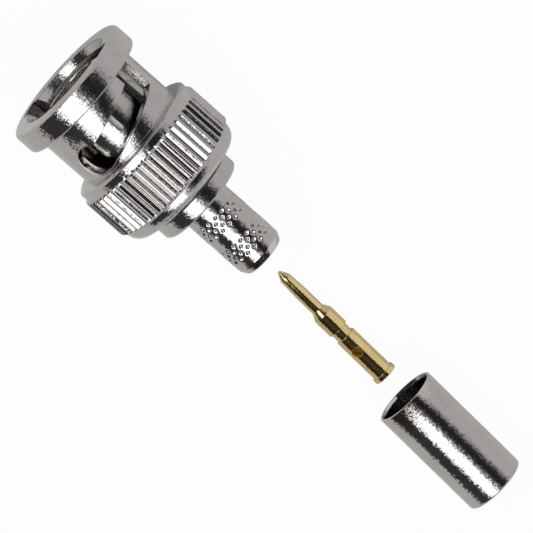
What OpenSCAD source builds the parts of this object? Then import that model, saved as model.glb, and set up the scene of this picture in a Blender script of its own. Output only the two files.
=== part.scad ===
// Crimp plug of the quarter-turn bayonet kind, laid out as the kit is supplied:
// the plug with its coupling nut, then the centre contact, then the crimp ferrule.
// Each turned piece is drawn about its own axis, counted from its mating end,
// and then laid on the ground plane, mating end towards -X.

/* [Coupling nut] */
// Diameter of the front flange
nut_flange_d = 14.42; // [14:0.1:15.4]
// Thickness of the front flange
nut_flange_t = 2.4; // [1.6:0.1:2.6]
// Room between the tines and the nut's bore, for the sleeve of the mating jack
socket_gap = 1.075; // [1.05:0.005:1.1]
// Wall of the slotted barrel
barrel_wall = 0.985; // [0.8:0.005:1.2]
// Where the barrel ends and the collar begins
collar_x = 8.4; // [8.3:0.05:8.7]
// Diameter of the smooth collar in front of the knurl
collar_d = 14.5; // [14:0.1:14.8]
// Length of the smooth collar
collar_len = 1.3; // [1:0.1:1.6]
// Diameter over the knurl ridges
knurl_d = 15.08; // [14.9:0.02:15.6]
// Length of the knurled ring
knurl_len = 4.5; // [3.8:0.1:4.8]
// Number of knurl ridges
knurl_ridges = 56; // [40:2:72]
// Depth of the knurl grooves
knurl_depth = 0.36; // [0.2:0.02:0.45]
// Diameter of the smooth rear shoulder, just behind the knurl
rear_shoulder_d = 14.3; // [13.8:0.1:14.6]
// Wall between the spring chamber and the nut's rear edge
rear_wall = 0.4; // [0.36:0.02:0.7]
// Wall left behind the retaining ring
rear_lip = 0.7; // [0.5:0.05:1]

/* [Bayonet slots] */
// Angle of the entry groove, from the top towards -Y
entry_angle = -49; // [-60:1:-40]
// Turn from the entry groove to the detent
turn_angle = 90; // [85:1:95]
// Width of the entry groove
entry_w = 2.6; // [2.3:0.1:2.8]
// How far the entry grooves' floors lie outside the barrel's surface
entry_floor_out = 0.19; // [0.12:0.01:0.4]
// Where the slot's centre line crosses the entry groove
slot_x = 4.85; // [4.6:0.05:5]
// Width of the helical slot, along the axis
slot_w = 2.7; // [2.4:0.1:2.8]
// Advance of the helical slot in a full turn
slot_lead = 8.66; // [7.5:0.1:9]
// Diameter of the detent hole
detent_d = 3.4; // [3:0.1:3.4]
// How far the detent lies in front of the slot's centre line
detent_back = 0.46; // [0.3:0.02:0.6]

/* [Spring pack] */
// Thickness of the washer strip
wave_strip = 0.2; // [0.1:0.02:0.22]
// Free height of one wave washer
wave_h = 0.6; // [0.5:0.02:0.7]
// Waves round each washer
wave_count = 3; // [3:1:5]
// Thickness of the flat thrust washer
thrust_t = 0.3; // [0.2:0.05:0.5]
// Thickness of the retaining ring
ring_t = 0.5; // [0.4:0.05:0.7]
// Angle left open in the retaining ring
ring_gap = 24; // [15:1:40]
// Radial wall of the spring chamber's pieces
washer_band = 0.9; // [0.7:0.05:0.95]

/* [Crimp body] */
// Front face of the body, where the gasket sits
body_x = 10.9; // [10.4:0.05:11.2]
// Radial play between the body and the nut's bore
pilot_play = 0.07; // [0.04:0.01:0.09]
// Distance from the nut's front face to its inner shoulder
chamber_x = 12; // [11.8:0.05:12.2]
// Thickness of the body's flange
body_flange_t = 0.7; // [0.5:0.05:0.9]
// How far the grip ring behind the nut stands above the body's neck
grip_step = 0.365; // [0.2:0.005:0.6]
// Length of the grip ring
grip_len = 1.7; // [1.4:0.1:2.4]
// Distance between the nut's rear edge and the grip ring
grip_gap = 0.4; // [0.2:0.05:0.8]
// Diameter of the crimp stem
stem_d = 5.3; // [5.1:0.02:5.34]
// Length of the crimp stem
stem_len = 8.2; // [7.9:0.1:9]
// Bore of the crimp stem
stem_bore_d = 3.8; // [3.4:0.1:4]
// Length of the taper at the stem's end
stem_taper = 0.75; // [0.5:0.05:1]
// Plain length in front of the first knurled band
band_start = 1.2; // [1:0.05:1.5]
// Plain length between the bands
band_gap = 1.4; // [1.2:0.05:1.7]
// Columns of diamond pits in a band
band_columns = 4; // [2:1:4]
// Diamond pits round a column
band_pits = 18; // [12:1:20]
// Distance from one column to the next
pit_pitch = 0.47; // [0.4:0.01:0.5]
// Width of a pit, round the stem
pit_w = 0.66; // [0.4:0.02:0.8]
// Length of a pit, along the stem
pit_len = 0.7; // [0.4:0.02:0.8]
// Depth of a pit
pit_depth = 0.16; // [0.08:0.01:0.2]

/* [Outer contact] */
// Diameter over the tines
tine_d = 7.7; // [7.6:0.02:8]
// Wall of the tines
tine_wall = 0.5; // [0.45:0.01:0.55]
// How far the tines stop behind the nut's front face
tine_x = 1; // [0.6:0.05:1.4]
// Length of the slots between the tines
tine_slot_len = 5.7; // [5:0.1:6.4]
// Width of the slots between the tines
tine_slot_w = 0.62; // [0.4:0.02:0.8]
// Number of tines
tine_count = 6; // [4:1:8]
// Wall of the body round the seat of the contact
seat_wall = 0.8; // [0.6:0.05:0.9]
// Depth of the seat in the body
seat_depth = 2.7; // [2.2:0.1:3]

/* [Insulator and gasket] */
// Play between the insulator and the metal round it
insulator_play = 0.05; // [0.02:0.01:0.08]
// Front face of the insulator
insulator_x = 3; // [2.4:0.1:4]
// Depth of the insulator's front bore
insulator_bore_depth = 5.8; // [5:0.1:6.4]
// Wall of the insulator round its front bore
insulator_wall = 0.87; // [0.8:0.01:0.9]
// Diameter of the insulator's rear half
insulator_rear_d = 4.8; // [4.4:0.05:4.8]
// Distance from the insulator's rear face to the root of the stem
insulator_back = 0.6; // [0.4:0.05:1]
// Thickness of the gasket
gasket_t = 1.5; // [1:0.1:1.8]

/* [Centre contact] */
// Overall length of the contact
pin_len = 14.8; // [14.2:0.1:15.4]
// Diameter of the contact's pin
pin_d = 1.35; // [1.32:0.01:1.38]
// Length of the contact's pin with its tip
pin_tip_len = 5.4; // [5:0.1:5.8]
// Diameter of the contact's body
pin_body_d = 2.16; // [2.1:0.02:2.2]
// Distance from the tip to the groove
pin_groove_x = 8.4; // [8:0.1:8.8]
// Length of the groove
pin_groove_len = 1; // [0.6:0.1:1.2]
// Diameter at the bottom of the groove
pin_groove_d = 1.78; // [1.6:0.02:1.9]
// Diameter of the rear collar
pin_collar_d = 2.54; // [2.4:0.02:2.8]
// Length of the rear collar
pin_collar_len = 0.5; // [0.4:0.05:0.7]
// Bore for the cable's inner conductor
pin_bore_d = 1; // [0.9:0.02:1.1]
// Depth of that bore
pin_bore_depth = 4.6; // [4.4:0.1:5]
// Diameter of the inspection hole
pin_hole_d = 1.06; // [0.8:0.02:1.1]
// Distance from the rear end to the inspection hole
pin_hole_back = 3.7; // [3.4:0.1:4]
// Angle of the inspection hole, from the top towards -Y
pin_hole_angle = 19; // [0:1:40]

/* [Crimp ferrule] */
// Outer diameter of the ferrule
ferrule_d = 6.56; // [6.54:0.02:7]
// Bore of the ferrule
ferrule_bore_d = 5.86; // [5.8:0.02:5.9]
// Length of the ferrule
ferrule_len = 12.8; // [11:0.1:15]
// Rounding of the ferrule's rear edge
ferrule_round = 0.3; // [0.1:0.02:0.32]

/* [Layout] */
// Gap from the stem's end to the contact's tip
pin_ahead = 3.55; // [2:0.05:5]
// Sideways place of the contact's tip
pin_side = -0.2; // [-1:0.1:0.5]
// Turn of the contact on the ground
pin_yaw = 2.45; // [0:0.05:4]
// Gap from the contact's rear end to the ferrule
ferrule_ahead = 2.35; // [0.5:0.05:4]
// Sideways place of the ferrule's front end
ferrule_side = -1.2; // [-2:0.1:0]
// Turn of the ferrule on the ground
ferrule_yaw = 2.85; // [0:0.05:4]

/* [Hidden] */
$fn = 96;
eps = 0.01;

// Nut, radii and stations
flange_r = nut_flange_d / 2;
tine_r = tine_d / 2;
nut_bore_r = tine_r + socket_gap;
barrel_r = nut_bore_r + barrel_wall;
collar_r = collar_d / 2;
knurl_r = knurl_d / 2;
knurl_root_r = knurl_r - knurl_depth;
shoulder_r = rear_shoulder_d / 2;
mouth_break = 0.33;
flange_round_front = 0.42;
flange_round_rear = 0.3;
knurl_x = collar_x + collar_len;
knurl_end = knurl_x + knurl_len;
knurl_bevel = 0.35;
knurl_run_out = 0.25;
ridge_sink = 0.3;
ridge_crest = 0.11;
ridge_foot = 0.34;
collar_bevel = 0.3;
collar_round = 0.2;
chamber_step = 1.125;
ring_seat = 0.3;
chamber_r = nut_bore_r + chamber_step;
groove_r = chamber_r + ring_seat;
rear_r = chamber_r + rear_wall;

// Spring pack, from the body's flange to the retaining ring
stack_play = 0.05;
seat_play = 0.1;
washer_play = 0.15;
washer_r = chamber_r - washer_play;
washer_bore_r = washer_r - washer_band;
body_flange_x = chamber_x + seat_play;
wave_front_x = body_flange_x + body_flange_t + stack_play;
wave_rear_x = wave_front_x + wave_h + stack_play;
thrust_x = wave_rear_x + wave_h + stack_play;
ring_x = thrust_x + thrust_t + stack_play;
nut_len = ring_x + ring_t + stack_play + rear_lip;
wave_rise = (wave_h - wave_strip) / 2;

// Bayonet slots
entry_half = asin(entry_w / 2 / barrel_r);
detent_angle = entry_angle + turn_angle;
entry_floor_r = barrel_r + entry_floor_out;
slot_stop = 5;
slot_end = detent_angle - slot_stop;
slot_step = 4;
over = 0.5;
cut_in_r = nut_bore_r - over;
cut_out_r = barrel_r + over;
function slot_centre(a) = slot_x + slot_lead * (a - entry_angle) / 360;

// Body
pilot_r = nut_bore_r - pilot_play;
seat_r = pilot_r - seat_wall;
seat_end = body_x + seat_depth;
body_flange_r = washer_r - stack_play;
neck_step = 0.35;
neck_r = pilot_r - neck_step;
neck_x = nut_len - rear_lip;
grip_r = neck_r + grip_step;
grip_x = nut_len + grip_gap;
stem_x = grip_x + grip_len;
stem_r = stem_d / 2;
stem_end = stem_x + stem_len;
stem_bore_r = stem_bore_d / 2;
stem_tip_step = 0.4;
stem_tip_r = stem_r - stem_tip_step;
pit_clear = 0.04;
grip_round_front = 0.15;
grip_round_rear = 0.35;

// Outer contact, insulator and gasket
tine_bore_r = tine_r - tine_wall;
tine_bead = 0.1;
tine_bead_x = 0.35;
tine_neck_x = 0.9;
tine_angle = -2;
insulator_r = tine_bore_r - insulator_play;
insulator_bore_r = insulator_r - insulator_wall;
insulator_rear_r = insulator_rear_d / 2;
insulator_end = stem_x - insulator_back;
insulator_bore_end = insulator_x + insulator_bore_depth;
contact_bore_r = pin_body_d / 2 + insulator_play;
gasket_play = 0.05;

// Centre contact, counted from its tip
pin_r = pin_d / 2;
pin_body_r = pin_body_d / 2;
pin_collar_r = pin_collar_d / 2;
pin_groove_r = pin_groove_d / 2;
pin_groove_end = pin_groove_x + pin_groove_len;
pin_tip_r = 0.12;
pin_nose_step = 0.1;
pin_nose_len = 0.85;
pin_taper_end = 3;
pin_cone_len = 0.8;
pin_shoulder_x = pin_tip_len + pin_cone_len;
pin_collar_x = pin_len - pin_collar_len;

// Resting places on the ground plane
nut_rest = knurl_r * cos(180 / knurl_ridges);
pin_tilt = asin((pin_collar_r - pin_body_r) / (pin_collar_x - pin_shoulder_x));
pin_rise = pin_collar_r * cos(pin_tilt) - (pin_collar_x) * sin(pin_tilt);
pin_x = stem_end + pin_ahead;
pin_end_x = pin_x + pin_len * cos(pin_yaw);
ferrule_x = pin_end_x + ferrule_ahead;
ferrule_r = ferrule_d / 2;
ferrule_bore_r = ferrule_bore_d / 2;
ferrule_edge = 0.12;
ferrule_inner_edge = 0.15;
ferrule_inner_len = 0.3;
layout_len = ferrule_x + ferrule_len * cos(ferrule_yaw) + (ferrule_r - ferrule_round) * sin(ferrule_yaw);
middle_x = layout_len / 2;

// Points of an arc about c, in [radius, station], from angle a0 to a1
function arc(c, r, a0, a1, steps = 5) =
    [for (i = [0:steps]) let (a = a0 + (a1 - a0) * i / steps) c + r * [cos(a), sin(a)]];

// Turns an outline of [radius, station] points about the axis
module turned(outline) rotate_extrude() polygon(outline);

// Lays the axis along X, with angle 0 at the top and positive angles towards -Y
module along_x() rotate([0, 90, 0]) rotate([0, 0, 180]) children();

// Places the plug's own pieces, axis level, on the knurl
module on_plug() translate([-middle_x, 0, nut_rest]) along_x() children();

// Places a ring of rectangular section
module ring(r_out, r_in, x, len) {
    translate([0, 0, x]) difference() {
        cylinder(r = r_out, h = len);
        translate([0, 0, -eps]) cylinder(r = r_in, h = len + 2 * eps);
    }
}

// ---- Coupling nut ----

// Outline of the nut without its ridges: flange, barrel, collar, rounded rear, stepped bore
rear_drop = shoulder_r - rear_r;
rear_run = nut_len - knurl_end - knurl_bevel;
rear_arc_r = (rear_run * rear_run + rear_drop * rear_drop) / (2 * rear_drop);
groove_start = ring_x - stack_play / 2;
groove_end = ring_x + ring_t + stack_play;
nut_outline = concat(
    [[nut_bore_r + mouth_break, 0]],
    arc([flange_r - flange_round_front, flange_round_front], flange_round_front, -90, 0),
    arc([flange_r - flange_round_rear, nut_flange_t - flange_round_rear], flange_round_rear, 0, 90),
    [[barrel_r, nut_flange_t], [barrel_r, collar_x],
     [collar_r - collar_bevel, collar_x + collar_bevel / 2]],
    arc([collar_r - collar_round, collar_x + collar_bevel], collar_round, -60, 0, 3),
    [[collar_r, knurl_x], [knurl_root_r, knurl_x], [knurl_root_r, knurl_end], [shoulder_r, knurl_end]],
    arc([shoulder_r - rear_arc_r, knurl_end + knurl_bevel], rear_arc_r, 0, asin(rear_run / rear_arc_r), 6),
    [[chamber_r, nut_len], [chamber_r, groove_end], [groove_r, groove_end], [groove_r, groove_start],
     [chamber_r, groove_start], [chamber_r, chamber_x], [nut_bore_r, chamber_x], [nut_bore_r, mouth_break]]);

// Ridged ring: a toothed prism bevelled at both ends, its grooves' floors just below the nut's surface
module knurl_ridges_ring() {
    pitch = 360 / knurl_ridges;
    intersection() {
        turned([[knurl_root_r - ridge_sink, knurl_x - knurl_bevel],
                [collar_r - stack_play, knurl_x - knurl_bevel],
                [knurl_r, knurl_x], [knurl_r, knurl_end - knurl_run_out / 2],
                [shoulder_r - stack_play, knurl_end + knurl_run_out],
                [knurl_root_r - ridge_sink, knurl_end + knurl_run_out]]);
        translate([0, 0, knurl_x - 2 * over]) linear_extrude(height = knurl_len + 4 * over)
            polygon([for (i = [0:knurl_ridges - 1],
                          s = [[-ridge_foot, -0.2], [-ridge_crest, 1], [ridge_crest, 1], [ridge_foot, -0.2]])
                let (r = knurl_root_r + s[1] * knurl_depth, a = pitch * (i + 0.5 + s[0]))
                r * [cos(a), sin(a)]]);
    }
}

// Helical slot: radial sections, each a step further round and back, joined into one solid
module helical_cut() {
    first = entry_angle - 0.7 * entry_half;
    n = ceil((slot_end - first) / slot_step);
    points = [for (i = [0:n], r = [cut_in_r, cut_out_r], side = [-1, 1])
        let (a = first + (slot_end - first) * i / n)
        [r * cos(a), r * sin(a), slot_centre(a) + side * slot_w / 2]];
    loop = [0, 1, 3, 2];
    last = 4 * n;
    sides = [for (i = [0:n - 1], k = [0:3]) let (p = 4 * i + loop[k], q = 4 * i + loop[(k + 1) % 4])
        each [[p, q + 4, q], [p, p + 4, q + 4]]];
    ends = [[2, 1, 3], [2, 0, 1], [last, last + 3, last + 1], [last, last + 2, last + 3]];
    polyhedron(points, concat(sides, ends));
}

// Straight entry groove, from the mouth to the rear corner of the slot
module entry_cut() {
    entry_len = slot_centre(entry_angle - entry_half) + slot_w / 2;
    intersection() {
        translate([0, 0, -over]) cylinder(r = entry_floor_r, h = entry_len + over);
        rotate([0, 0, entry_angle]) translate([cut_in_r, -entry_w / 2, -over])
            cube([cut_out_r - cut_in_r, entry_w, entry_len + over]);
    }
}

// Round detent hole, drilled through the barrel
module detent_cut() {
    rotate([0, 0, detent_angle]) translate([cut_in_r, 0, slot_centre(detent_angle) - detent_back])
        rotate([0, 90, 0]) cylinder(d = detent_d, h = cut_out_r - cut_in_r);
}

module coupling_nut() {
    color("silver") on_plug() difference() {
        union() {
            turned(nut_outline);
            knurl_ridges_ring();
        }
        for (k = [0, 1]) rotate([0, 0, 180 * k]) {
            entry_cut();
            helical_cut();
            detent_cut();
        }
    }
}

// ---- Spring pack ----

module retaining_ring() {
    color("dimgray") on_plug() difference() {
        ring(groove_r - stack_play, washer_bore_r, ring_x, ring_t);
        rotate([0, 0, 90]) translate([0, 0, ring_x - over]) linear_extrude(height = ring_t + 2 * over)
            polygon([[0, 0], 2 * groove_r * [cos(ring_gap / 2), sin(ring_gap / 2)],
                     2 * groove_r * [cos(ring_gap / 2), -sin(ring_gap / 2)]]);
    }
}

module thrust_washer() {
    color("gainsboro") on_plug() ring(washer_r, washer_bore_r, thrust_x, thrust_t);
}

// Washer of bent strip, whose middle surface rises and falls in even waves
module wave_washer(x, turn) {
    steps = 12 * wave_count;
    loop = [0, 1, 3, 2];
    points = [for (i = [0:steps - 1], r = [washer_bore_r, washer_r], side = [-1, 1])
        let (a = 360 * i / steps + turn)
        [r * cos(a), r * sin(a), x + wave_h / 2 + wave_rise * sin(wave_count * a) + side * wave_strip / 2]];
    polyhedron(points, [for (i = [0:steps - 1], k = [0:3])
        let (j = (i + 1) % steps, p = 4 * i + loop[k], q = 4 * i + loop[(k + 1) % 4],
             s = 4 * j + loop[k], t = 4 * j + loop[(k + 1) % 4])
        each [[p, t, q], [p, s, t]]]);
}

module wave_washer_front() {
    color("darkgray") on_plug() wave_washer(wave_front_x, 0);
}

module wave_washer_rear() {
    color("darkgray") on_plug() rotate([0, 0, 180 / wave_count]) wave_washer(wave_rear_x, 0);
}

// ---- Crimp body ----

// Diamond pit pressed into the stem: a four-sided point, its base just above the surface
module diamond_pit() {
    top = stem_r + pit_clear;
    polyhedron([[top, 0, -pit_len / 2], [top, pit_w / 2, 0], [top, 0, pit_len / 2], [top, -pit_w / 2, 0],
                [stem_r - pit_depth, 0, 0]],
               [[0, 2, 1], [0, 3, 2], [1, 4, 0], [2, 4, 1], [3, 4, 2], [0, 4, 3]]);
}

// Band of diamond knurling: columns of pits, each turned half a pitch from the last
module diamond_band(x) {
    for (c = [0:band_columns - 1], i = [0:band_pits - 1])
        rotate([0, 0, 360 / band_pits * (i + 0.5 * (c % 2))]) translate([0, 0, x + pit_pitch * (c + 0.5)])
            diamond_pit();
}

module crimp_body() {
    first_band = stem_x + band_start;
    color("silver") on_plug() difference() {
        turned(concat(
            [[seat_r, body_x], [pilot_r, body_x], [pilot_r, body_flange_x], [body_flange_r, body_flange_x],
             [body_flange_r, body_flange_x + body_flange_t], [pilot_r, body_flange_x + body_flange_t],
             [pilot_r, neck_x], [neck_r, neck_x], [neck_r, grip_x]],
            arc([grip_r - grip_round_front, grip_x + grip_round_front], grip_round_front, -90, 0, 3),
            arc([grip_r - grip_round_rear, stem_x - grip_round_rear], grip_round_rear, 0, 90),
            [[stem_r, stem_x], [stem_r, stem_end - stem_taper], [stem_tip_r, stem_end],
             [stem_bore_r, stem_end],
             [stem_bore_r, insulator_end], [insulator_rear_r + insulator_play, insulator_end],
             [insulator_rear_r + insulator_play, seat_end], [seat_r, seat_end]]));
        diamond_band(first_band);
        diamond_band(first_band + band_columns * pit_pitch + band_gap);
    }
}

// ---- Outer contact, gasket and insulator ----

module outer_contact() {
    color("lightgray") on_plug() difference() {
        turned([[tine_bore_r, tine_x], [tine_r - tine_bead, tine_x],
                [tine_r + tine_bead, tine_x + tine_bead_x], [tine_r, tine_x + tine_neck_x],
                [tine_r, body_x], [seat_r, body_x], [seat_r, seat_end], [tine_bore_r, seat_end]]);
        for (k = [0:tine_count - 1]) rotate([0, 0, tine_angle + 360 * k / tine_count])
            translate([tine_bore_r - over, -tine_slot_w / 2, tine_x - over])
                cube([tine_wall + 2 * over, tine_slot_w, tine_slot_len + over]);
    }
}

module gasket() {
    color("firebrick") on_plug() ring(pilot_r - gasket_play, tine_r, body_x - gasket_t, gasket_t);
}

module insulator() {
    color("white") on_plug() turned([
        [insulator_bore_r, insulator_x], [insulator_r, insulator_x], [insulator_r, seat_end],
        [insulator_rear_r, seat_end], [insulator_rear_r, insulator_end], [contact_bore_r, insulator_end],
        [contact_bore_r, insulator_bore_end], [insulator_bore_r, insulator_bore_end]]);
}

// ---- Centre contact ----

module centre_contact() {
    color("goldenrod") translate([pin_x - middle_x, pin_side, pin_rise]) rotate([0, 0, -pin_yaw])
        rotate([0, -pin_tilt, 0]) along_x() difference() {
            turned([[0, 0], [pin_tip_r, 0], [pin_r - pin_nose_step, pin_nose_len], [pin_r, pin_taper_end],
                    [pin_r, pin_tip_len], [pin_body_r, pin_shoulder_x], [pin_body_r, pin_groove_x],
                    [pin_groove_r, pin_groove_x], [pin_groove_r, pin_groove_end],
                    [pin_body_r, pin_groove_end], [pin_body_r, pin_collar_x], [pin_collar_r, pin_collar_x],
                    [pin_collar_r, pin_len], [0, pin_len]]);
            translate([0, 0, pin_len - pin_bore_depth]) cylinder(d = pin_bore_d, h = pin_bore_depth + over);
            rotate([0, 0, pin_hole_angle]) translate([0, 0, pin_len - pin_hole_back]) rotate([0, 90, 0])
                cylinder(d = pin_hole_d, h = pin_body_d);
        }
}

// ---- Crimp ferrule ----

module crimp_ferrule() {
    color("silver") translate([ferrule_x - middle_x, ferrule_side, ferrule_r]) rotate([0, 0, -ferrule_yaw])
        along_x() turned(concat(
            [[ferrule_bore_r + ferrule_inner_edge, 0], [ferrule_r - ferrule_edge, 0],
             [ferrule_r, ferrule_edge]],
            arc([ferrule_r - ferrule_round, ferrule_len - ferrule_round], ferrule_round, 0, 90),
            [[ferrule_bore_r, ferrule_len], [ferrule_bore_r, ferrule_inner_len]]));
}

coupling_nut();
retaining_ring();
thrust_washer();
wave_washer_front();
wave_washer_rear();
crimp_body();
outer_contact();
gasket();
insulator();
centre_contact();
crimp_ferrule();
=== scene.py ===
"""Metres, +X towards the cable end, +Z up from the table."""
import math

import bpy
import numpy as np
from mathutils import Matrix, Vector


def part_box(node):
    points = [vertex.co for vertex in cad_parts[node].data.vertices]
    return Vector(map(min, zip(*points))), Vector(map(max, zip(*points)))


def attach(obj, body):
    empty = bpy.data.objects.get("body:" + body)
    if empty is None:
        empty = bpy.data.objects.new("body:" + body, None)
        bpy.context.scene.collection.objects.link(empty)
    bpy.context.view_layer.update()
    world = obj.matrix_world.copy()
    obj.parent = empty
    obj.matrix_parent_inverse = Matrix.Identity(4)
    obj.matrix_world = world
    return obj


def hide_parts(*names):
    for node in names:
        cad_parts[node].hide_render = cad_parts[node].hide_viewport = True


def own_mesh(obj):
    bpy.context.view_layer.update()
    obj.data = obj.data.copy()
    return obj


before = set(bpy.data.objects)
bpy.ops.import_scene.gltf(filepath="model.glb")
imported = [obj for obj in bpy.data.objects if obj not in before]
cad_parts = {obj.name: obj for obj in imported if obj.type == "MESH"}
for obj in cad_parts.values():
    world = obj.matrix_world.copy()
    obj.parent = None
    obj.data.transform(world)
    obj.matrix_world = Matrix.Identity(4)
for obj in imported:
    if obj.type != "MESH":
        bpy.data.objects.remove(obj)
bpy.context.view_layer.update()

# ---- Crimp body ----
# The plug's brass barrel: a flanged pilot that runs in the nut, a grip ring, and a crimp stem with
# two bands of rolled diamond knurling. It is turned from bar and plated with bright nickel.
# Stations are in millimetres from the nut's front face, radii in millimetres from the axis.
nut_low, nut_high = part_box("coupling_nut")
FRONT_X = nut_low[0] * 1000
AXIS_Z = (nut_low[2] + nut_high[2]) / 2 * 1000
STEM_R = 2.65
# The stretches of the stem that are knurled, and where the first column of pits starts in each
BANDS = ((19.1, 21.2), (22.38, 24.48))
BAND_STARTS = (19.22, 22.5)
PIT_PITCH, PIT_COLUMNS, PITS_ROUND, PIT_TURN = 0.47, 4, 18, 8
PIT_HALF_W, PIT_HALF_LEN, PIT_DEPTH = 0.27, 0.27, 0.16
# Height of the metal between the pits as a share of their depth, and the length over which it falls
# to nothing at a band's ends
RAISED, FADE = 0.14, 0.12
CRISP = math.radians(38)


def rounded(corners, steps=4):
    """Outline through (radius, station, fillet) corners. Each corner with a fillet becomes an arc
    tangent to both sides, with one more point just outside each end of the arc, which keeps the
    flat beside it flat."""
    corners = np.array(corners, float)
    points = []
    for i, (r, x, fillet) in enumerate(corners):
        here = np.array([r, x])
        if fillet == 0:
            points.append(here[None])
            continue
        before = corners[i - 1, :2] - here
        after = corners[(i + 1) % len(corners), :2] - here
        u, v = before / np.linalg.norm(before), after / np.linalg.norm(after)
        half = math.acos(np.clip(u @ v, -1, 1)) / 2
        reach = fillet / math.tan(half)
        centre = here + (u + v) / np.linalg.norm(u + v) * fillet / math.sin(half)
        start, end = here + u * reach, here + v * reach
        a, b = start - centre, end - centre
        t = np.linspace(0, 1, steps + 1)[:, None]
        bend = math.pi - 2 * half
        arc = centre + (np.sin((1 - t) * bend) * a + np.sin(t * bend) * b) / math.sin(bend)
        points += [(start + u * fillet * 0.3)[None], arc, (end + v * fillet * 0.3)[None]]
    return np.concatenate(points)


def new_mesh(name, points, faces):
    """Smooth-shaded piece from points in metres and faces, with an edge kept crisp past 38 degrees."""
    mesh = bpy.data.meshes.new(name)
    mesh.from_pydata(points.tolist(), [], faces)
    mesh.shade_smooth()
    mesh.set_sharp_from_angle(angle=CRISP)
    piece = bpy.data.objects.new(name, mesh)
    bpy.context.scene.collection.objects.link(piece)
    return piece


def on_plug(points):
    """Moves points from the plug's own axis to its place on the table, and to metres."""
    return (points + [FRONT_X, 0, AXIS_Z]) / 1000


def turned(name, outline, columns, relief=None, closed=True, place=on_plug):
    """Surface of revolution: station x, radius r and angle a give (x, -r sin a, r cos a), where
    angle 0 is the top and positive angles go towards -Y. relief is added to the radius, one value
    for each outline point and column. An open outline starts and ends on the axis."""
    a = columns if np.ndim(columns) else np.arange(columns) * 2 * math.pi / columns
    rows, cols = len(outline), len(a)
    r = outline[:, :1] + (0 if relief is None else relief)
    r = np.broadcast_to(r, (rows, cols))
    x = np.broadcast_to(outline[:, 1:], (rows, cols))
    points = np.stack([x, -r * np.sin(a), r * np.cos(a)], -1).reshape(-1, 3)
    j = np.arange(rows if closed else rows - 1)[:, None]
    i = np.arange(cols)[None]
    p, q = j * cols + i, j * cols + (i + 1) % cols
    s, t = (j + 1) % rows * cols + (i + 1) % cols, (j + 1) % rows * cols + i
    quads = np.stack([p, q, s, t], -1).reshape(-1, 4)
    nr, nx = np.roll(outline, -1, 0).T
    if (outline[:, 1] * nr - nx * outline[:, 0]).sum() > 0:
        quads = quads[:, ::-1]
    faces = quads.tolist()
    if not closed:
        first = np.arange(cols)
        last = first + (rows - 1) * cols
        ends = [first[::-1], last] if quads[0, 0] == 0 else [first, last[::-1]]
        faces += [e.tolist() for e in ends]
    return new_mesh(name, place(points), faces)


def rows_between(outline, start, end, step):
    """Adds evenly spaced points to the side of an outline that runs between two stations."""
    here, following = outline[:-1, 1], outline[1:, 1]
    k = np.where((np.abs(here - start) < 1e-6) & (np.abs(following - end) < 1e-6))[0][0]
    t = np.linspace(0, 1, int(round((end - start) / step)) + 1)[1:-1, None]
    added = outline[k] + t * (outline[k + 1] - outline[k])
    return np.concatenate([outline[:k + 1], added, outline[k + 1:]])


body_outline = rounded([
    (4.055, 10.9, 0), (4.855, 10.9, 0.06), (4.855, 12.1, 0), (5.85, 12.1, 0.06), (5.85, 12.8, 0.06),
    (4.855, 12.8, 0), (4.855, 15.05, 0.06), (4.505, 15.05, 0.05), (4.505, 16.15, 0.05),
    (4.87, 16.15, 0.16), (4.87, 17.85, 0.36), (STEM_R, 17.85, 0.12),
    *((STEM_R, station, 0) for band in BANDS for station in band), (STEM_R, 25.3, 0.5), (2.25, 26.05, 0.14),
    (1.9, 26.05, 0.08), (1.9, 17.25, 0), (2.45, 17.25, 0), (2.45, 13.6, 0), (4.055, 13.6, 0)])
for band in BANDS:
    body_outline = rows_between(body_outline, *band, 0.042)


def diamond_relief(outline, angles):
    """Depth of the knurling: each pit is a four-sided point, 1 - |along| - |round| measured in half
    sizes, set in four columns, alternate columns half a pitch round. The metal the pits displace
    stands up between them."""
    x, girth = outline[:, 1:], 2 * math.pi * STEM_R / PITS_ROUND
    outer = np.abs(outline[:, :1] - STEM_R) < 1e-6
    pits = np.zeros((len(outline), len(angles)))
    for start in BAND_STARTS:
        for column in range(PIT_COLUMNS):
            along = np.abs(x - (start + PIT_PITCH * (column + 0.5))) / PIT_HALF_LEN
            turns = (angles - math.radians(PIT_TURN)) / (2 * math.pi) * PITS_ROUND - 0.5 * (column % 2)
            round_ = np.abs(turns - np.round(turns)) * girth / PIT_HALF_W
            pits = np.maximum(pits, 1 - along - round_)
        end = start + PIT_COLUMNS * PIT_PITCH
        inside = np.clip(np.minimum(x - start + 0.1, end + 0.1 - x) / FADE, 0, 1)
        pits = np.where(outer & (inside > 0) & (pits <= 0), -RAISED * inside, pits)
    return np.where(outer, -PIT_DEPTH * pits, 0)


stem_columns = PITS_ROUND * 14
stem_angles = np.arange(stem_columns) * 2 * math.pi / stem_columns
crimp_body = turned("plug_crimp_body", body_outline, stem_angles,
                    diamond_relief(body_outline, stem_angles))


def hex_colour(code):
    """Linear colour of an sRGB hex value: each channel c becomes ((c + 0.055) / 1.055) ** 2.4."""
    c = np.array([int(code[i:i + 2], 16) / 255 for i in (0, 2, 4)])
    return (*np.where(c < 0.04045, c / 12.92, ((c + 0.055) / 1.055) ** 2.4), 1.0)


def node(tree, kind, settings=(), **links):
    """Adds a node, sets its properties, and sets or links its inputs by name."""
    made = tree.nodes.new(kind)
    for key, value in dict(settings).items():
        setattr(made, key, value)
    for key, value in links.items():
        socket = made.inputs[int(key[1:])] if key[0] == "i" and key[1:].isdigit() else made.inputs[
            key.replace("_", " ")]
        if isinstance(value, bpy.types.NodeSocket):
            tree.links.new(value, socket)
        else:
            socket.default_value = value
    return made


def blank(name):
    """New material with an empty node tree, and the tree."""
    material = bpy.data.materials.new(name)
    material.use_nodes = True
    material.node_tree.nodes.clear()
    return material, material.node_tree


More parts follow.
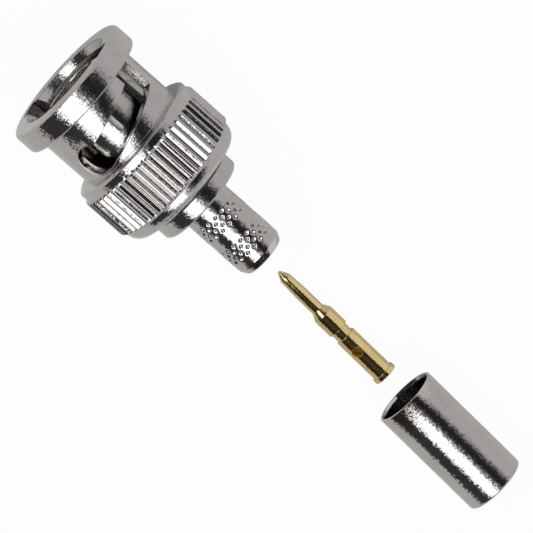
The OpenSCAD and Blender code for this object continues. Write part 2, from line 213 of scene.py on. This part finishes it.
def plated(name, bright, worn, roughness, grain=0.13, lean=0.115):
    """Metal of one kind: a bright colour and a slightly duller one mixed in soft patches, faint
    turning rings along the axis, and a fine plating grain in which each grain leans its own way by
    up to half of lean, so that the edges of reflections break up into specks. The grain is drawn
    at 0.13 mm, coarser than the real one, so that it shows."""
    material, tree = blank(name)
    place = node(tree, "ShaderNodeTexCoord").outputs["Object"]
    patches = node(tree, "ShaderNodeTexNoise", Vector=place, Scale=260.0, Detail=3.0, Roughness=0.6)
    colour = node(tree, "ShaderNodeMix", {"data_type": "RGBA"}, Factor=patches.outputs[0],
                  i6=hex_colour(bright), i7=hex_colour(worn))
    speck = node(tree, "ShaderNodeTexNoise", Vector=place, Scale=1000 / grain, Detail=2.0, Roughness=0.7)
    rough = node(tree, "ShaderNodeMapRange", Value=speck.outputs[0], From_Min=0.3, From_Max=0.7,
                 To_Min=roughness * 0.75, To_Max=roughness * 1.3)
    rings = node(tree, "ShaderNodeTexWave", {"bands_direction": "X"}, Vector=place, Scale=2600.0,
                 Distortion=1.5, Detail=2.0, Detail_Scale=0.6)
    height = node(tree, "ShaderNodeMix", Factor=0.3, A=speck.outputs[0], B=rings.outputs[1])
    bump = node(tree, "ShaderNodeBump", Strength=0.4, Distance=0.00002, Height=height.outputs[0])
    grains = node(tree, "ShaderNodeTexVoronoi", Vector=place, Scale=1000 / grain)
    own_way = node(tree, "ShaderNodeVectorMath", {"operation": "SUBTRACT"}, i0=grains.outputs["Color"],
                   i1=(0.5, 0.5, 0.5))
    leaning = node(tree, "ShaderNodeVectorMath", {"operation": "MULTIPLY_ADD"}, i0=own_way.outputs[0],
                   i1=(lean, lean, lean), i2=bump.outputs[0])
    facing = node(tree, "ShaderNodeVectorMath", {"operation": "NORMALIZE"}, i0=leaning.outputs[0])
    shader = node(tree, "ShaderNodeBsdfPrincipled", Base_Color=colour.outputs[2], Metallic=1.0,
                  Roughness=rough.outputs[0], Normal=facing.outputs[0])
    node(tree, "ShaderNodeOutputMaterial", Surface=shader.outputs[0])
    return material


# Bright nickel plate on turned brass: nearly white metal, mirror-like but grainy
bright_nickel = plated("bright nickel plate", "CBC9C8", "B7B4B2", 0.09)
crimp_body.data.materials.append(bright_nickel)
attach(crimp_body, "plug_body")
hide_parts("crimp_body")

# ---- Outer contact ----
# The springy sleeve that meets the inside of the jack's shell: a tube of phosphor bronze, plated
# with nickel, slit into six tines with a bead at their tips, and pressed into the body.
TINES, TINE_SLOT_W, TINE_TURN = 6, 0.62, -2


def cut(piece, *cutters):
    """Takes each cutter out of the piece, as milling and drilling do, and shades it again."""
    for cutter in cutters:
        step = piece.modifiers.new("cut", "BOOLEAN")
        step.operation, step.solver, step.object = "DIFFERENCE", "EXACT", cutter
        bpy.context.view_layer.update()
        result = piece.evaluated_get(bpy.context.evaluated_depsgraph_get())
        machined = bpy.data.meshes.new_from_object(result)
        piece.modifiers.clear()
        piece.data = machined
        bpy.data.objects.remove(cutter)
    piece.data.shade_smooth()
    piece.data.set_sharp_from_angle(angle=CRISP)


def turn(points, degrees):
    """Turns points about the plug's axis, from the top towards -Y."""
    c, s = math.cos(math.radians(degrees)), math.sin(math.radians(degrees))
    x, y, z = np.moveaxis(points, -1, 0)
    return np.stack([x, y * c - z * s, y * s + z * c], -1)


def closed_sweep(sections):
    """Faces of a closed solid whose sections, of equal point counts, follow one another, with both
    ends capped. The first section is seen clockwise from outside."""
    n, m = sections.shape[:2]
    j, i = np.arange(n - 1)[:, None], np.arange(m)[None]
    p, q = j * m + i, j * m + (i + 1) % m
    quads = np.stack([p, q, q + m, p + m], -1).reshape(-1, 4).tolist()
    return quads + [np.arange(m)[::-1].tolist(), (np.arange(m) + (n - 1) * m).tolist()]


def sweep_mesh(name, solids, place=on_plug):
    """Joins several closed sweeps into one mesh, each turned outside out if it is inside out."""
    points, faces, count = [], [], 0
    for sections in solids:
        flat = sections.reshape(-1, 3)
        mine = closed_sweep(sections)
        a, b, c, d = flat[np.array(mine[:-2]).T]
        middle = flat.mean(0)
        volume = ((np.cross(b - a, c - a) + np.cross(c - a, d - a)) * (a - middle)).sum()
        mine = [f[::-1] for f in mine] if volume < 0 else mine
        faces += [[v + count for v in f] for f in mine]
        points.append(flat)
        count += len(flat)
    return new_mesh(name, place(np.concatenate(points)), faces)


contact_outline = rounded([
    (3.35, 1.0, 0.08), (3.72, 1.0, 0.1), (3.95, 1.35, 0.3), (3.85, 1.9, 0.6), (3.85, 10.9, 0),
    (4.055, 10.9, 0.03), (4.055, 13.6, 0.05), (3.35, 13.6, 0.05)])
outer_contact = turned("plug_outer_contact", contact_outline, 192)
# A block for each slit, a section at each station, narrowing to the slit's rounded end
SLIT_STATIONS, SLIT_SHARES = (0.5, 6.4, 6.58, 6.68, 6.7), (1, 1, 0.95, 0.6, 0.3)
SLIT_IN, SLIT_OUT = 2.8, 4.4
slit = np.array([[[x, -w, SLIT_IN], [x, w, SLIT_IN], [x, w, SLIT_OUT], [x, -w, SLIT_OUT]]
                 for x, w in zip(SLIT_STATIONS, np.array(SLIT_SHARES) * TINE_SLOT_W / 2)])
slits = [turn(slit, TINE_TURN + 360 / TINES * k) for k in range(TINES)]
cut(outer_contact, sweep_mesh("slits", slits))
# Nickel-plated spring bronze: a shade darker and warmer than the nut, and a little less smooth
spring_nickel = plated("nickel-plated spring bronze", "C9C7C4", "B0ADA9", 0.14)
outer_contact.data.materials.append(spring_nickel)
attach(outer_contact, "plug_body")
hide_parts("outer_contact")

# ---- Gasket ----
# Flat ring of red-brown silicone rubber, punched from sheet, that seals against the end of the
# jack's shell. It fills the bottom of the socket round the outer contact.
gasket = turned("plug_gasket", rounded([(3.855, 9.4, 0.12), (4.8, 9.4, 0.16), (4.8, 10.89, 0.16),
                                        (3.855, 10.89, 0.12)]), 128)
# Silicone rubber: soft sheen over a dull red-brown, with a fine dusty mottle
silicone, tree = blank("silicone rubber")
place = node(tree, "ShaderNodeTexCoord").outputs["Object"]
dust = node(tree, "ShaderNodeTexNoise", Vector=place, Scale=1800.0, Detail=4.0, Roughness=0.65)
tint = node(tree, "ShaderNodeMix", {"data_type": "RGBA"}, Factor=dust.outputs[0],
            i6=hex_colour("8A3628"), i7=hex_colour("A6523F"))
skin = node(tree, "ShaderNodeBump", Strength=0.4, Distance=0.00002, Height=dust.outputs[0])
shader = node(tree, "ShaderNodeBsdfPrincipled", Base_Color=tint.outputs[2], Roughness=0.55,
              Normal=skin.outputs[0])
node(tree, "ShaderNodeOutputMaterial", Surface=shader.outputs[0])
gasket.data.materials.append(silicone)
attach(gasket, "plug_body")
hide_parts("gasket")

# ---- Insulator ----
# Stepped tube of white PTFE, turned from rod and pressed in from the front, that holds the centre
# contact on the axis. Its wide front bore takes the jack's own insulator.
insulator = turned("plug_insulator", rounded([
    (2.43, 3.0, 0.12), (3.3, 3.0, 0.12), (3.3, 13.6, 0.1), (2.4, 13.6, 0.05), (2.4, 17.25, 0.1),
    (1.13, 17.25, 0.1), (1.13, 8.8, 0.1), (2.43, 8.8, 0.1)]), 128)
# Turned PTFE: waxy white, slightly see-through at its edges, with fine turning rings
ptfe, tree = blank("turned PTFE")
place = node(tree, "ShaderNodeTexCoord").outputs["Object"]
rings = node(tree, "ShaderNodeTexWave", {"bands_direction": "X"}, Vector=place, Scale=900.0,
             Distortion=1.0, Detail=2.0)
cloud = node(tree, "ShaderNodeTexNoise", Vector=place, Scale=500.0, Detail=3.0)
milk = node(tree, "ShaderNodeMix", {"data_type": "RGBA"}, Factor=cloud.outputs[0],
            i6=hex_colour("F4F3EF"), i7=hex_colour("E6E4DD"))
lathe = node(tree, "ShaderNodeBump", Strength=0.25, Distance=0.00002, Height=rings.outputs[1])
shader = node(tree, "ShaderNodeBsdfPrincipled", Base_Color=milk.outputs[2], Roughness=0.42, IOR=1.36,
              Normal=lathe.outputs[0])
node(tree, "ShaderNodeOutputMaterial", Surface=shader.outputs[0])
insulator.data.materials.append(ptfe)
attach(insulator, "plug_body")
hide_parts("insulator")

# ---- Wave washers ----
# Two washers of stainless strip bent into three waves, one behind the other round the body. They
# push the nut back, so that it pulls the plug against the jack, and flatten as the nut is drawn on.
WAVE_FRONT_X, WAVE_REAR_X, WAVE_H, STRIP, WAVES = 12.85, 13.5, 0.6, 0.2, 3
# Stainless spring strip: cool grey, rolled smooth, with a faint grain
spring_steel = plated("stainless spring strip", "9C9C9E", "86868A", 0.22)
strip_section = rounded([(5.0, -STRIP / 2, 0.05), (5.9, -STRIP / 2, 0.05), (5.9, STRIP / 2, 0.05),
                         (5.0, STRIP / 2, 0.05)], 3)
for label, x, start in (("front", WAVE_FRONT_X, 0), ("rear", WAVE_REAR_X, 180)):
    washer = turned(f"plug_wave_washer_{label}", strip_section + [0, x + WAVE_H / 2], 180)
    # The strip's middle rises and falls as a sine of the angle, three waves a turn
    flat = np.empty(len(washer.data.vertices) * 3)
    washer.data.vertices.foreach_get("co", flat)
    flat = flat.reshape(-1, 3)
    angle = np.arctan2(-flat[:, 1], flat[:, 2] - AXIS_Z / 1000)
    flat[:, 0] += (WAVE_H - STRIP) / 2000 * np.sin(WAVES * angle + math.radians(start))
    washer.data.vertices.foreach_set("co", flat.ravel())
    washer.data.update()
    washer.data.materials.append(spring_steel)
    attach(washer, "plug_body")
    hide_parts(f"wave_washer_{label}")
    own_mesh(washer)

# ---- Thrust washer ----
# Flat stamped ring of nickel-plated bronze between the springs and the retaining ring, so that the
# nut turns without winding up the springs.
thrust_washer = turned("plug_thrust_washer", rounded([
    (5.0, 14.15, 0.04), (5.9, 14.15, 0.04), (5.9, 14.45, 0.04), (5.0, 14.45, 0.04)], 3), 128)
thrust_washer.data.materials.append(spring_nickel)
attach(thrust_washer, "thrust")
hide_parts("thrust_washer")

# ---- Coupling nut ----
# The quarter-turn bayonet nut: turned brass with bright nickel plate, a thick front flange, a barrel
# milled right through with two J slots that end in round detent holes, and a straight knurled grip.
BORE_R, BARREL_R, FLANGE_R, FLANGE_T = 4.925, 5.91, 7.21, 2.4
MOUTH_R, LEAD_IN = 5.3, 0.8
DOME_R, DOME_MID_R, DOME_MID_X = 1.378, 5.772, 14.55
COLLAR_R, KNURL_R, KNURL_DEPTH, RIDGES = 7.25, 7.54, 0.3, 56
ENTRY_TURN, ENTRY_W, ENTRY_FLOOR = -49, 2.6, 6.1
SLOT_X, SLOT_W, SLOT_LEAD = 4.85, 2.7, 8.66
DETENT_TURN, DETENT_R, DETENT_BACK = 41, 1.7, 0.46
# Width of the rounded edge round the slots, and the inner and outer reach of the tools that cut them
EDGE, TOOL_IN, TOOL_OUT = 0.09, 4.2, 6.5

ridge_x = np.array([9.34, 9.42, 9.5, 9.58, 9.66, 9.7, 9.74, 9.84, 10.5, 11.5, 12.5, 13.5, 14.0,
                    14.1, 14.16, 14.22, 14.3, 14.38, 14.46])
foot_r = np.interp(ridge_x, [9.7, 9.74, 14.2, 14.24], [COLLAR_R, 7.24, 7.22, 7.15])
ridge_rows = np.stack([foot_r, ridge_x], 1)
dome = np.radians(np.linspace(-3, 56, 14))
nut_outline = np.concatenate([
    rounded([(MOUTH_R, 0, 0.06), (FLANGE_R, 0, 0.42), (FLANGE_R, FLANGE_T, 0.3), (BARREL_R, FLANGE_T, 0.06),
             (BARREL_R, 8.4, 0.05), (6.93, 8.5, 0.06), (COLLAR_R, 8.72, 0.16), (COLLAR_R, 9.3, 0)])[:-1],
    ridge_rows,
    np.stack([DOME_MID_R + DOME_R * np.cos(dome), DOME_MID_X + DOME_R * np.sin(dome)], 1),
    rounded([(6.47, 15.7, 0), (6.42, 15.74, 0.03), (6.05, 15.74, 0.06), (6.05, 15.05, 0.03),
             (6.35, 15.05, 0.03), (6.35, 14.475, 0.03), (6.05, 14.475, 0.03), (6.05, 12.0, 0.05),
             (BORE_R, 12.0, 0.05), (BORE_R, LEAD_IN, 0.3), (MOUTH_R, 0, 0)])[1:-1]])
# Twelve columns to a ridge: the foot of the 90-degree groove, its flank, the crest and the other flank
share = np.array([-0.5, -0.46, -0.42, -0.16, -0.12, -0.07, 0, 0.07, 0.12, 0.16, 0.42, 0.46])
height = np.array([0, 0.015, 0.07, 0.87, 0.975, 1, 1, 1, 0.975, 0.87, 0.07, 0.015])
nut_angles = ((np.arange(RIDGES)[:, None] + 0.5 + share) * 2 * math.pi / RIDGES).ravel()
ridges = np.zeros((len(nut_outline), len(nut_angles)))
low = np.where(nut_outline[:, 1] == ridge_x[0])[0][0]
envelope = np.interp(ridge_x, [9.38, 9.7, 14.1, 14.46], [COLLAR_R - 0.03, KNURL_R, KNURL_R, 7.1])
tooth = KNURL_R - KNURL_DEPTH * (1 - np.tile(height, RIDGES))
ridges[low:low + len(ridge_x)] = np.maximum(
    np.minimum(envelope[:, None], tooth[None]) - ridge_rows[:, :1], 0)
coupling_nut = turned("plug_coupling_nut", nut_outline, nut_angles, ridges)


def slot_centre(degrees):
    """Station of the helical slot's centre line: it moves back by the lead in a full turn."""
    return SLOT_X + SLOT_LEAD * (degrees - ENTRY_TURN) / 360


def helix_cutter(start, end):
    """Bent block along the helical slot: at each angle a four-cornered section, its sides flared
    where they pass the barrel's surface, which leaves the rounded edge of the slot."""
    a = np.linspace(start, end, 60)[:, None]
    r = np.array([TOOL_IN, BARREL_R - EDGE, BARREL_R - 0.3 * EDGE, BARREL_R + 0.02, TOOL_OUT])
    wide = SLOT_W / 2 + np.array([0, 0, 0.3, 1, 1]) * EDGE
    r, side = np.concatenate([r, r[::-1]]), np.concatenate([wide, -wide[::-1]])
    x = slot_centre(a) + side
    a = np.radians(np.broadcast_to(a, x.shape))
    return np.stack([x, -r * np.sin(a), r * np.cos(a)], -1)


def entry_cutter():
    """Straight groove along the axis: sections across it at a few stations. Inside the flange its
    floor is an arc of the groove's radius; behind the flange it passes right through the barrel,
    with flared edges, and ends on the helical slot's rear edge."""
    v = np.linspace(-1, 1, 25)
    sections = []
    for x, floor, flare in ((-1, ENTRY_FLOOR, 0), (2.404, ENTRY_FLOOR, 0), (2.46, TOOL_OUT, EDGE),
                            (5.5, TOOL_OUT, EDGE)):
        lift = np.array([TOOL_IN, BARREL_R - EDGE, BARREL_R - 0.3 * EDGE, BARREL_R + 0.02])
        half = ENTRY_W / 2 - 0.01 + np.array([0, 0, 0.3, 1]) * flare
        y = np.concatenate([-half, v * half[-1], half[::-1]])
        z = np.concatenate([lift, np.sqrt(floor ** 2 - (v * half[-1]) ** 2), lift[::-1]])
        if x > SLOT_X:
            x = slot_centre(ENTRY_TURN + np.degrees(np.arctan2(y, z))) + SLOT_W / 2 - 0.01
        sections.append(np.stack([np.broadcast_to(x, y.shape), -y, z], -1))
    return turn(np.array(sections), ENTRY_TURN)


def drill(radius, surface_r, bottom_r, top_r, station, edge, columns=72):
    """Round drill along a radius of the plug, its side flared where it passes the turned surface:
    the flare's height falls away to the sides as the surface does."""
    c = np.arange(columns) * 2 * math.pi / columns
    rings = [(radius, np.full(columns, bottom_r))]
    for level, flare in ((-edge, 0), (-0.3 * edge, 0.3 * edge), (0.02, edge)):
        rho = radius + flare
        rings.append((rho, np.sqrt((surface_r + level) ** 2 - (rho * np.sin(c)) ** 2)))
    rings.append((radius + edge, np.full(columns, top_r)))
    return np.array([np.stack([station + rho * np.cos(c), -rho * np.sin(c), z], -1) for rho, z in rings])


helix = helix_cutter(ENTRY_TURN - 8.5, DETENT_TURN - 6)
detent_x = slot_centre(DETENT_TURN) - DETENT_BACK
detent = turn(drill(DETENT_R, BARREL_R, TOOL_IN, TOOL_OUT + 0.1, detent_x, EDGE), DETENT_TURN)
cut(coupling_nut,
    sweep_mesh("entry grooves", [entry_cutter(), turn(entry_cutter(), 180)]),
    sweep_mesh("helical slots", [helix, turn(helix, 180)]),
    sweep_mesh("detent holes", [detent, turn(detent, 180)]))
coupling_nut.data.materials.append(bright_nickel)
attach(coupling_nut, "coupling")
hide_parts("coupling_nut")

# ---- Retaining ring ----
# Open ring of stainless spring wire that snaps into the groove at the back of the nut and holds the
# springs and the thrust washer in.
RING_GAP, RING_TURN = 24, 90
ring_start, ring_end = RING_TURN + RING_GAP / 2, RING_TURN + 360 - RING_GAP / 2
sweep = np.radians(np.linspace(ring_start, ring_end, 120))[:, None]
section = rounded([(5.0, 14.5, 0.08), (6.3, 14.5, 0.08), (6.3, 14.99, 0.08), (5.0, 14.99, 0.08)], 3)
r, x = section[:, 0], np.broadcast_to(section[:, 1], (len(sweep), len(section)))
ring_sections = np.stack([x, -r * np.sin(sweep), r * np.cos(sweep)], -1)
retaining_ring = sweep_mesh("plug_retaining_ring", [ring_sections])
retaining_ring.data.materials.append(spring_steel)
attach(retaining_ring, "coupling")
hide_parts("retaining_ring")

# ---- Centre contact ----
# The loose pin that is crimped on the cable's inner conductor: turned brass with gold plate, with a
# locating groove, a collar, a bore for the wire and an inspection hole into it.
# It rests on the edge of its collar and on its shoulder, which sets its tilt and its height
REST_COLLAR_R, REST_SHOULDER_R, REST_APART, COLLAR_X = 1.27, 1.08, 8.1, 14.3
PIN_TILT = math.asin((REST_COLLAR_R - REST_SHOULDER_R) / REST_APART)
PIN_YAW, PIN_SIDE = 2.45, -0.2
PIN_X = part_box("centre_contact")[0][0] * 1000
PIN_Z = REST_COLLAR_R * math.cos(PIN_TILT) - COLLAR_X * math.sin(PIN_TILT)
HOLE_R, HOLE_X, HOLE_TURN, HOLE_EDGE = 0.53, 10.95, 19, 0.06
BORE_FRONT, BORE_BACK, BORE_LOOK_R = 10, 14.7, 0.97


def pin_lie():
    """Turn that lays the contact on its collar and shoulder, nose down, a little across the table."""
    across = Matrix.Rotation(-math.radians(PIN_YAW), 3, "Z")
    return np.array(across @ Matrix.Rotation(-PIN_TILT, 3, "Y"))


def on_table(points):
    """Moves points from the contact's own axis to its place on the table, and to metres."""
    return (points @ pin_lie().T + [PIN_X, PIN_SIDE, PIN_Z]) / 1000


pin_outline = rounded([
    (0.02, 0, 0), (0.13, 0.0, 0.04), (0.3, 0.3, 0.3), (0.575, 0.85, 0.8), (0.672, 3.0, 1.0),
    (0.672, 5.35, 0.1),
    (1.08, 6.1, 0.12), (1.08, 8.2, 0.06), (0.89, 8.2, 0.04), (0.89, 9.15, 0.04), (1.08, 9.15, 0.06),
    (1.08, COLLAR_X, 0.04), (1.265, COLLAR_X, 0.06), (1.265, 14.79, 0.08), (0.5, 14.79, 0.1),
    (0.5, 10.2, 0), (0.02, 10.2, 0)])
centre_contact = turned("centre_contact_pin", pin_outline, 96, closed=False, place=on_table)
hole = turn(drill(HOLE_R, REST_SHOULDER_R, 0.05, 1.6, HOLE_X, HOLE_EDGE, 48), HOLE_TURN)
cut(centre_contact, sweep_mesh("inspection hole", [hole], on_table))
# Gold plate on brass: pale warm yellow, brown where it mirrors the dark
gold_plate = plated("gold plate", "E4D2A2", "CFB67A", 0.12, lean=0.08)
centre_contact.data.materials.append(gold_plate)
# The bore is only thinly plated, so it is duller and deeper in colour than the outside
bore_plate, tree = blank("thin gold plate in the bore")
place = node(tree, "ShaderNodeTexCoord").outputs["Object"]
stain = node(tree, "ShaderNodeTexNoise", Vector=place, Scale=3000.0, Detail=3.0)
tint = node(tree, "ShaderNodeMix", {"data_type": "RGBA"}, Factor=stain.outputs[0],
            i6=hex_colour("D8B650"), i7=hex_colour("BC962C"))
shader = node(tree, "ShaderNodeBsdfPrincipled", Base_Color=tint.outputs[2], Metallic=0.35,
              Roughness=0.4)
node(tree, "ShaderNodeOutputMaterial", Surface=shader.outputs[0])
centre_contact.data.materials.append(bore_plate)
# Faces whose middle lies inside the bore's radius, or on the side of the hole, take the bore's plate
middles = np.empty(len(centre_contact.data.polygons) * 3)
centre_contact.data.polygons.foreach_get("center", middles)
middles = (middles.reshape(-1, 3) * 1000 - [PIN_X, PIN_SIDE, PIN_Z]) @ pin_lie()
depth = np.hypot(middles[:, 1], middles[:, 2])
in_bore = (depth < BORE_LOOK_R) & (middles[:, 0] > BORE_FRONT) & (middles[:, 0] < BORE_BACK)
centre_contact.data.polygons.foreach_set("material_index", in_bore.astype(np.int32))
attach(centre_contact, "plug_body")
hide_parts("centre_contact")

# ---- Crimp ferrule ----
# The loose tube that is crimped over the braid on the stem: drawn brass tube, cut to length, its
# rear edge rounded, its front bore chamfered, and plated like the body.
FERRULE_YAW, FERRULE_SIDE, FERRULE_R, FERRULE_BORE, FERRULE_LEN = 2.85, -1.2, 3.28, 2.93, 12.8
# Once the ferrule is turned, its rim reaches furthest forward at this radius
RIM_R = FERRULE_R - 0.12
FERRULE_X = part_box("crimp_ferrule")[0][0] * 1000 + RIM_R * math.sin(math.radians(FERRULE_YAW))


def ferrule_place(points):
    """Lays the ferrule on its side on the table, turned a little across it."""
    lie = np.array(Matrix.Rotation(-math.radians(FERRULE_YAW), 3, "Z"))
    return (points @ lie.T + [FERRULE_X, FERRULE_SIDE, FERRULE_R]) / 1000


ferrule = turned("crimp_ferrule_tube", rounded([
    (FERRULE_BORE + 0.08, 0.005, 0.03), (FERRULE_R, 0.005, 0.09), (FERRULE_R, FERRULE_LEN, 0.3),
    (FERRULE_BORE, FERRULE_LEN, 0.04), (FERRULE_BORE, 0.3, 0.2)]), 160, place=ferrule_place)
ferrule.data.materials.append(bright_nickel)
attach(ferrule, "plug_body")
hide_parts("crimp_ferrule")

# The camera looks down, a little from the mating end.
TABLE_HALF = 1.5
SKY_BANDS = ((-90, "CECCCE", 1.0), (-68, "D4D2D3", 1.0), (-50, "CECCCC", 1.0), (-42, "969494", 1.0),
             (-35, "3A383A", 1.0), (-14, "242225", 1.0), (-6, "565456", 1.0), (1, "A6A6A6", 1.0),
             (8, "FFFFFF", 1.4), (15, "FFFFFF", 3.2), (44, "FFFFFF", 1.8), (47, "403E3E", 1.0),
             (87, "403E3E", 1.0), (90, "646262", 1.0))
table_mesh = bpy.data.meshes.new("table")
table_mesh.from_pydata([(x * TABLE_HALF, y * TABLE_HALF, 0) for x, y in ((-1, -1), (1, -1), (1, 1), (-1, 1))],
                       [], [(0, 1, 2, 3)])
table_top = bpy.data.objects.new("table", table_mesh)
bpy.context.scene.collection.objects.link(table_top)
# White laminate: it is seen as nearly plain white, and keeps a faint shadow
laminate, tree = blank("white laminate")
rays = node(tree, "ShaderNodeLightPath")
white = node(tree, "ShaderNodeEmission", Color=(1, 1, 1, 1), Strength=1.0)
matt = node(tree, "ShaderNodeBsdfDiffuse", Color=(0.66, 0.65, 0.63, 1))
# Painted shadow: close under the plug, where the table shows through both slots, the added white is held
# back in a soft oval with its middle under the nut, longer than wide, so the table there is darker than
# elsewhere even where no shadow falls, and the plug's real shadow also shows in it
PAINTED_SHADOW_SQUEEZE, PAINTED_SHADOW_MIDDLE, PAINTED_SHADOW_INNER, PAINTED_SHADOW_OUTER = 0.8, FRONT_X + 7.8, 0.0042, 0.0058
under = node(tree, "ShaderNodeVectorMath", {"operation": "MULTIPLY"}, i0=node(
    tree, "ShaderNodeTexCoord").outputs["Object"], i1=(PAINTED_SHADOW_SQUEEZE, 1, 1))
painted_shadow_distance = node(tree, "ShaderNodeVectorMath", {"operation": "DISTANCE"}, i0=under.outputs[0],
            i1=(PAINTED_SHADOW_MIDDLE * PAINTED_SHADOW_SQUEEZE / 1000, 0, 0))
# Share of added white seen by the camera: low inside the oval, which paints the shadow there
painted_shadow_white_share = node(tree, "ShaderNodeMapRange", {"interpolation_type": "SMOOTHSTEP"},
             Value=painted_shadow_distance.outputs["Value"], From_Min=PAINTED_SHADOW_INNER, From_Max=PAINTED_SHADOW_OUTER, To_Min=0.2, To_Max=0.96)
camera_part = node(tree, "ShaderNodeMath", {"operation": "MULTIPLY"}, i0=rays.outputs["Is Camera Ray"],
                   i1=painted_shadow_white_share.outputs[0])
gloss_part = node(tree, "ShaderNodeMath", {"operation": "MULTIPLY_ADD"}, i0=rays.outputs["Is Glossy Ray"],
                  i1=0.15, i2=camera_part.outputs[0])
seen = node(tree, "ShaderNodeMixShader", i0=gloss_part.outputs[0], i1=matt.outputs[0],
            i2=white.outputs[0])
node(tree, "ShaderNodeOutputMaterial", Surface=seen.outputs[0])
table_mesh.materials.append(laminate)

# A small arched reflector hangs over the contact, out of the camera's sight: light, dark, light. It
# is there for mirrored light only, so it casts no shadow, and gives the gold its dark middle band.
TENT_R, TENT_LIFT, TENT_START, TENT_END, TENT_COLUMNS = 14.0, 1.2, 30.5, 50.0, 15
TENT_STRIPS = ((-88, -20, "F2F0EA"), (-20, 78, "2C2620"), (78, 88, "C8C4B8"))
for k, (start, end, code) in enumerate(TENT_STRIPS):
    arc = np.radians(np.linspace(start, end, TENT_COLUMNS + 1))
    rim = np.stack([0 * arc, -TENT_R * np.sin(arc) + PIN_SIDE, TENT_R * np.cos(arc) + TENT_LIFT], 1)
    strip = np.concatenate([rim + [TENT_START + FRONT_X, 0, 0], rim + [TENT_END + FRONT_X, 0, 0]]) / 1000
    i = np.arange(TENT_COLUMNS)[:, None]
    quads = np.concatenate([i, i + 1, i + TENT_COLUMNS + 2, i + TENT_COLUMNS + 1], 1)
    card = bpy.data.objects.new(f"reflector_{k}", bpy.data.meshes.new(f"reflector_{k}"))
    card.data.from_pydata(strip.tolist(), [], quads.tolist())
    bpy.context.scene.collection.objects.link(card)
    paper, tree = blank(f"reflector paper {k}")
    glow = node(tree, "ShaderNodeEmission", Color=hex_colour(code), Strength=1.0)
    node(tree, "ShaderNodeOutputMaterial", Surface=glow.outputs[0])
    card.data.materials.append(paper)
    card.visible_camera = card.visible_diffuse = False
    card.visible_shadow = card.visible_transmission = False

# The room: brightness by the angle from straight up, measured across the plug's axis, and pale at
# both ends of the axis. The camera itself sees plain white behind the table.
room = bpy.data.worlds.new("studio")
room.use_nodes = True
bpy.context.scene.world = room
tree = room.node_tree
tree.nodes.clear()
way = node(tree, "ShaderNodeSeparateXYZ", i0=node(tree, "ShaderNodeTexCoord").outputs["Generated"])
left = node(tree, "ShaderNodeMath", {"operation": "MULTIPLY"}, i0=way.outputs[1], i1=-1.0)
angle = node(tree, "ShaderNodeMath", {"operation": "ARCTAN2"}, i0=left.outputs[0], i1=way.outputs[2])
share_up = node(tree, "ShaderNodeMapRange", Value=angle.outputs[0], From_Min=-math.pi / 2,
                From_Max=math.pi / 2, To_Min=0.0, To_Max=1.0)
bands = node(tree, "ShaderNodeValToRGB", Fac=share_up.outputs[0])
ramp = bands.color_ramp
while len(ramp.elements) < len(SKY_BANDS):
    ramp.elements.new(0.5)
for stop, (degrees, _, _) in zip(ramp.elements, SKY_BANDS):
    stop.position = (degrees + 90) / 180
for stop, (_, code, gain) in zip(ramp.elements, SKY_BANDS):
    stop.color = (*(np.array(hex_colour(code)[:3]) * gain), 1)
ends = node(tree, "ShaderNodeMath", {"operation": "ABSOLUTE"}, i0=way.outputs[0])
near_end = node(tree, "ShaderNodeMapRange", {"interpolation_type": "SMOOTHSTEP"}, Value=ends.outputs[0],
                From_Min=0.7, From_Max=0.97)
walls = node(tree, "ShaderNodeMix", {"data_type": "RGBA"}, Factor=near_end.outputs[0],
             i6=bands.outputs[0], i7=hex_colour("CCCED2"))
rays = node(tree, "ShaderNodeLightPath")
lit = node(tree, "ShaderNodeBackground", Color=walls.outputs[2], Strength=1.0)
plain = node(tree, "ShaderNodeBackground", Color=(1, 1, 1, 1), Strength=1.0)
sky = node(tree, "ShaderNodeMixShader", i0=rays.outputs["Is Camera Ray"], i1=lit.outputs[0],
           i2=plain.outputs[0])
node(tree, "ShaderNodeOutputWorld", Surface=sky.outputs[0])

# Long lens, 0.8 m away. LEAN is the tilt off straight down, ROLL turns the picture, and FOCAL_SHARE
# is the focal length in picture widths.
SENSOR_W = 36
AIM = np.array([26.92 + FRONT_X, -0.6, AXIS_Z])
LEAN, ROLL, REACH, FOCAL_SHARE = math.radians(12.09), math.radians(41.39), 800.0, 8286.0 / 533
back = np.array([-math.sin(LEAN), 0, math.cos(LEAN)])
along = np.array([math.cos(LEAN), 0, math.sin(LEAN)])
across = np.cross(along, -back)
right = math.cos(ROLL) * along + math.sin(ROLL) * across
up = -math.sin(ROLL) * along + math.cos(ROLL) * across
camera_data = bpy.data.cameras.new("camera")
camera_data.sensor_width = SENSOR_W
camera_data.lens = SENSOR_W * FOCAL_SHARE
camera_data.clip_start, camera_data.clip_end = 0.05, 10
camera = bpy.data.objects.new("camera", camera_data)
camera.matrix_world = Matrix([[*row] for row in np.column_stack([right, up, back])]).to_4x4()
camera.location = Vector((AIM + REACH * back) / 1000)
bpy.context.scene.collection.objects.link(camera)
bpy.context.scene.camera = camera

bpy.context.scene.view_settings.view_transform = "Standard"
